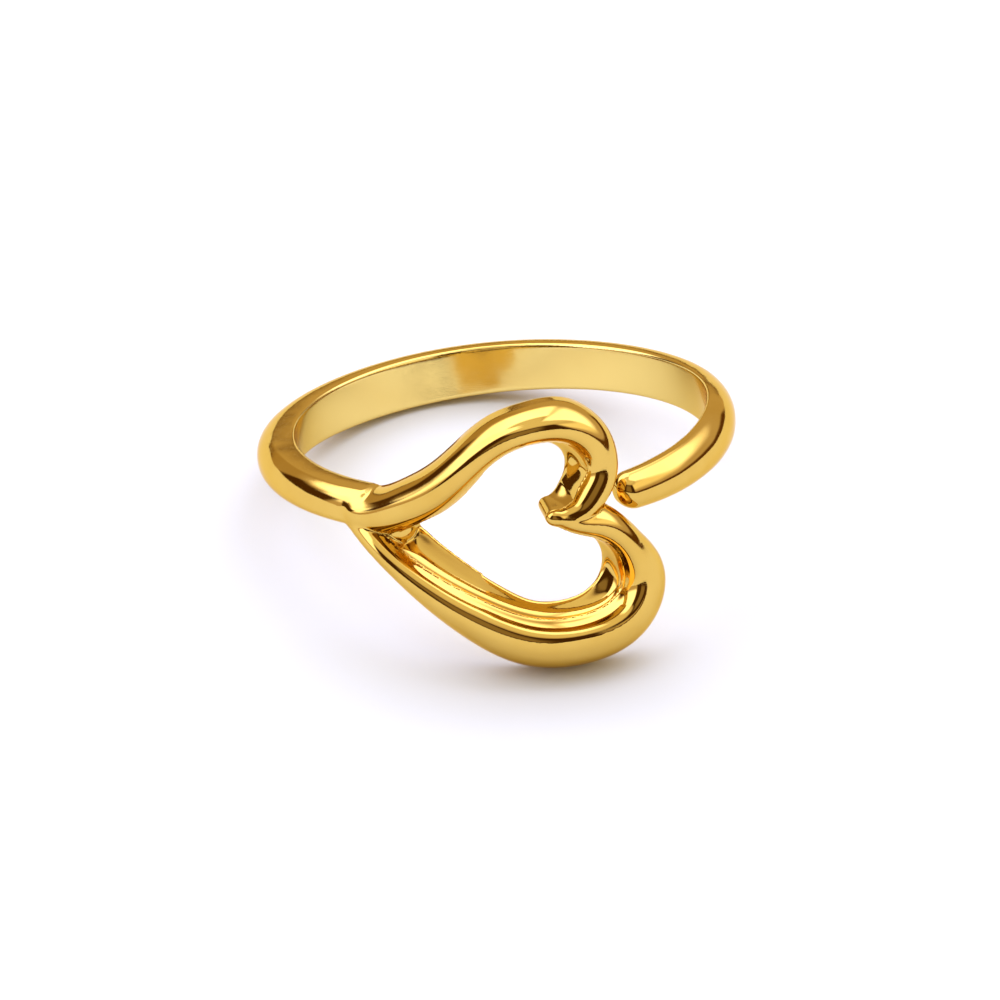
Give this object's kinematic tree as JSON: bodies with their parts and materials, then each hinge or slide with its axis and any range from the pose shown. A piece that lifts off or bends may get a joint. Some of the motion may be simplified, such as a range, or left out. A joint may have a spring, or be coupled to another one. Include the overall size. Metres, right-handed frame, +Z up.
{
  "type": "heart ring",
  "caption": "Polished metal finger ring whose band is open at the front and runs into an open heart outline lying on its side.",
  "frame": {"origin": "middle of the footprint on the surface that the ring lies on", "axes": "+Z up, across the finger hollow as it lies; -Y is the front, where the heart is; +X to the right, towards the band's free end"},
  "size_m": [0.0201, 0.0216, 0.0114],
  "materials": {
    "polished_gold": "mirror polished, gold plated"
  },
  "bodies": {
    "root": {"heart_ring": "polished_gold"}
  },
  "joints": []
}
